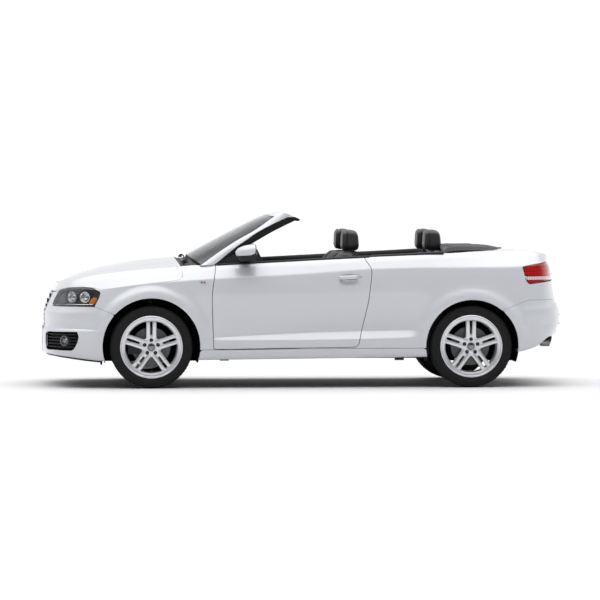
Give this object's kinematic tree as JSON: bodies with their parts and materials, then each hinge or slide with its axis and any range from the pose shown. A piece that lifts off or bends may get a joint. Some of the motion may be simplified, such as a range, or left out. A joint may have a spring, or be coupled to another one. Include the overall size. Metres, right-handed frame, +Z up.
{
  "type": "convertible car",
  "caption": "Open-topped family car with its fabric roof folded: hinged doors, bonnet and boot lid, steered front wheels and wheels that roll.",
  "frame": {"origin": "on the ground, halfway between the bumpers, on the centre plane", "axes": "+X to the rear of the car, +Y to the car's right, +Z up"},
  "size_m": [4.238, 1.97, 1.4169],
  "materials": {
    "body_paint": "gloss",
    "underbody": "satin",
    "black_plastic": "matte",
    "grille_plastic": "gloss",
    "clear_lamp": "gloss",
    "red_lamp": "gloss",
    "screen_glass": "gloss",
    "tyre_rubber": "matte",
    "wheel_alloy": "satin",
    "disc_steel": "brushed",
    "suspension_iron": "matte",
    "exhaust_steel": "satin",
    "seat_leather": "satin",
    "roof_fabric": "matte",
    "trim_plastic": "matte"
  },
  "bodies": {
    "body": {"platform": "underbody", "bulkhead": "underbody", "arch_liners": "black_plastic", "engine_block": "suspension_iron", "front_bumper": "body_paint", "grille": "grille_plastic", "headlamps": "clear_lamp", "front_wing_left": "body_paint", "front_wing_right": "body_paint", "scuttle": "black_plastic", "sills": "body_paint", "rear_quarter_left": "body_paint", "rear_quarter_right": "body_paint", "rear_bumper": "body_paint", "rear_lamps": "red_lamp", "windscreen_frame": "body_paint", "windscreen": "screen_glass", "dashboard": "trim_plastic", "centre_console": "trim_plastic", "front_seats": "seat_leather", "rear_seat": "seat_leather", "folded_roof": "roof_fabric", "front_suspension": "suspension_iron", "rear_suspension": "suspension_iron", "exhaust": "exhaust_steel", "wipers": "black_plastic"},
    "bonnet": {"bonnet": "body_paint"},
    "boot_lid": {"boot_lid": "body_paint"},
    "steering_wheel": {"steering_wheel": "seat_leather"},
    "door_left": {"door_left": "body_paint", "mirror_left": "body_paint"},
    "knuckle_left": {"knuckle_left": "suspension_iron"},
    "door_right": {"door_right": "body_paint", "mirror_right": "body_paint"},
    "knuckle_right": {"knuckle_right": "suspension_iron"},
    "wheel_front_left": {"tyre_front_left": "tyre_rubber", "rim_front_left": "wheel_alloy", "brake_disc_front_left": "disc_steel"},
    "wheel_front_right": {"tyre_front_right": "tyre_rubber", "rim_front_right": "wheel_alloy", "brake_disc_front_right": "disc_steel"},
    "wheel_rear_left": {"tyre_rear_left": "tyre_rubber", "rim_rear_left": "wheel_alloy", "brake_disc_rear_left": "disc_steel"},
    "wheel_rear_right": {"tyre_rear_right": "tyre_rubber", "rim_rear_right": "wheel_alloy", "brake_disc_rear_right": "disc_steel"}
  },
  "joints": [
    {"name": "bonnet_hinge", "type": "hinge", "parent": "body", "child": "bonnet", "pos_m": [-1.012, 0, 1.056], "axis": [0, 1, 0], "range_deg": [0, 55]},
    {"name": "boot_lid_hinge", "type": "hinge", "parent": "body", "child": "boot_lid", "pos_m": [1.7, 0, 1.112], "axis": [0, -1, 0], "range_deg": [0, 70]},
    {"name": "steering_wheel_turn", "type": "hinge", "parent": "body", "child": "steering_wheel", "pos_m": [-0.364, -0.365, 0.9], "axis": [0.9063, 0, 0.4226], "range_deg": [-480, 480]},
    {"name": "door_left_hinge", "type": "hinge", "parent": "body", "child": "door_left", "pos_m": [-0.745, -0.8825, 0.6], "axis": [0, 0, -1], "range_deg": [0, 65]},
    {"name": "steering_left", "type": "hinge", "parent": "body", "child": "knuckle_left", "pos_m": [-1.244, -0.69, 0.23], "axis": [0, 0.2118, 0.9773], "range_deg": [-32, 32]},
    {"name": "door_right_hinge", "type": "hinge", "parent": "body", "child": "door_right", "pos_m": [-0.745, 0.8825, 0.6], "axis": [0, 0, 1], "range_deg": [0, 65]},
    {"name": "steering_right", "type": "hinge", "parent": "body", "child": "knuckle_right", "pos_m": [-1.244, 0.69, 0.23], "axis": [0, -0.2118, 0.9773], "range_deg": [-32, 32]},
    {"name": "wheel_front_left_roll", "type": "hinge", "parent": "knuckle_left", "child": "wheel_front_left", "pos_m": [-1.244, -0.767, 0.332], "axis": [0, 1, 0], "continuous": true},
    {"name": "wheel_front_right_roll", "type": "hinge", "parent": "knuckle_right", "child": "wheel_front_right", "pos_m": [-1.244, 0.767, 0.332], "axis": [0, 1, 0], "continuous": true},
    {"name": "wheel_rear_left_roll", "type": "hinge", "parent": "body", "child": "wheel_rear_left", "pos_m": [1.334, -0.757, 0.332], "axis": [0, 1, 0], "continuous": true},
    {"name": "wheel_rear_right_roll", "type": "hinge", "parent": "body", "child": "wheel_rear_right", "pos_m": [1.334, 0.757, 0.332], "axis": [0, 1, 0], "continuous": true}
  ],
  "couplings": [
    {"joint": "steering_right", "follows": "steering_left", "ratio": 1},
    {"joint": "steering_wheel_turn", "follows": "steering_left", "ratio": 15}
  ]
}
